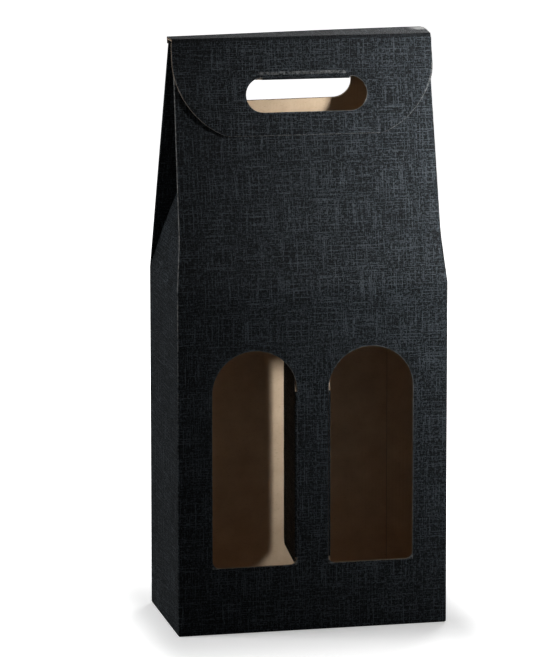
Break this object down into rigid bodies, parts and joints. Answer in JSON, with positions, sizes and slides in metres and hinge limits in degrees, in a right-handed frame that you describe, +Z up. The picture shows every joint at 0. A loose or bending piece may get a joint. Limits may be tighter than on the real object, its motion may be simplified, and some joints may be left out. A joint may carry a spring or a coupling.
{
  "type": "bottle shipping box",
  "caption": "Folded board carton for bottles, with arched front windows, inward side folds and leaning panels that end in a ridge flap with a hand slot.",
  "frame": {"origin": "middle of the base, on the surface that the box stands on", "axes": "+Z up to the ridge, -Y out of the windows, X across the front"},
  "size_m": [0.18, 0.092, 0.388],
  "materials": {
    "carton": "black linen-embossed paper outside, brown kraft inside",
    "closing_flap": "black linen-embossed paper outside, brown kraft inside",
    "hand_tab": "black linen-embossed paper outside, brown kraft inside",
    "window_flap_left": "black linen-embossed paper outside, brown kraft inside",
    "window_flap_right": "black linen-embossed paper outside, brown kraft inside"
  },
  "bodies": {
    "carton": {"carton": "carton"},
    "closing_flap": {"closing_flap": "closing_flap"},
    "hand_tab": {"hand_tab": "hand_tab"},
    "window_flap_left": {"window_flap_left": "window_flap_left"},
    "window_flap_right": {"window_flap_right": "window_flap_right"}
  },
  "joints": [
    {"name": "closing_flap_fold", "type": "hinge", "parent": "carton", "child": "closing_flap", "pos_m": [0, -0.01177, 0.388], "axis": [-1, 0, 0], "range_deg": [0, 150]},
    {"name": "hand_tab_fold", "type": "hinge", "parent": "closing_flap", "child": "hand_tab", "pos_m": [0, -0.0159, 0.3635], "axis": [-1, 0, 0], "range_deg": [0, 100]},
    {"name": "window_flap_left_fold", "type": "hinge", "parent": "carton", "child": "window_flap_left", "pos_m": [-0.0104, -0.0445, 0.0445], "axis": [0, 0, 1], "range_deg": [0, 95]},
    {"name": "window_flap_right_fold", "type": "hinge", "parent": "carton", "child": "window_flap_right", "pos_m": [0.0104, -0.0445, 0.0445], "axis": [0, 0, -1], "range_deg": [0, 95]}
  ]
}
